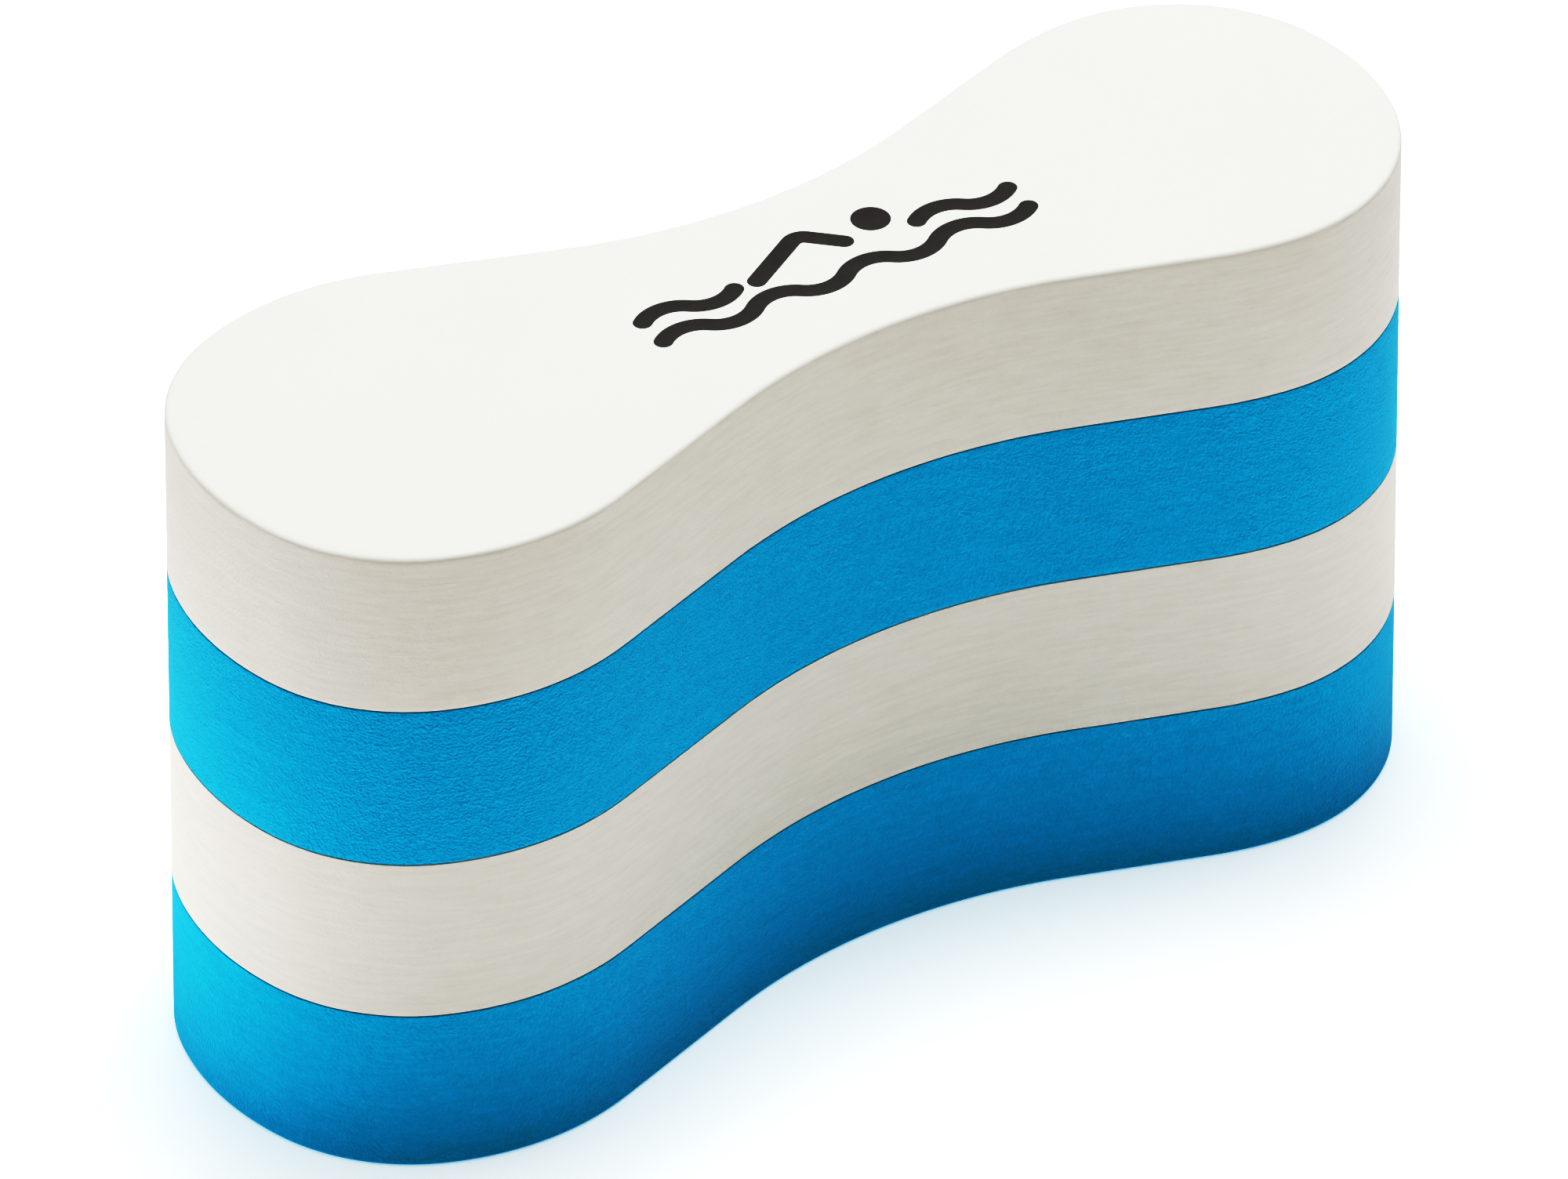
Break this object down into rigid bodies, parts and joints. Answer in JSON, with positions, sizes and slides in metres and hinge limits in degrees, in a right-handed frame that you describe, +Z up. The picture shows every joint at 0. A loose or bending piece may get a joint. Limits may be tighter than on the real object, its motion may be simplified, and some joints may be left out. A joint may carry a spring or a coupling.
{
  "type": "pull buoy",
  "caption": "Figure-eight pull buoy of glued foam layers in white and blue, held between the thighs to float a swimmer's legs.",
  "frame": {"origin": "middle of the bounding box, on the flat base of the bottom layer", "axes": "+X along the length, from the big lobe to the small lobe; +Y across the buoy, away from the side that the mark is read from; +Z up through the stacked layers"},
  "size_m": [0.249, 0.089, 0.136],
  "materials": {
    "white_foam": "matte closed-cell EVA foam",
    "blue_foam": "matte closed-cell EVA foam",
    "glue": "dried contact adhesive",
    "black_ink": "matte screen-print ink"
  },
  "bodies": {
    "root": {"top_white_layer": "white_foam", "upper_blue_layer": "blue_foam", "lower_white_layer": "white_foam", "bottom_blue_layer": "blue_foam", "top_glue_film": "glue", "middle_glue_film": "glue", "bottom_glue_film": "glue", "printed_mark": "black_ink"}
  },
  "joints": []
}
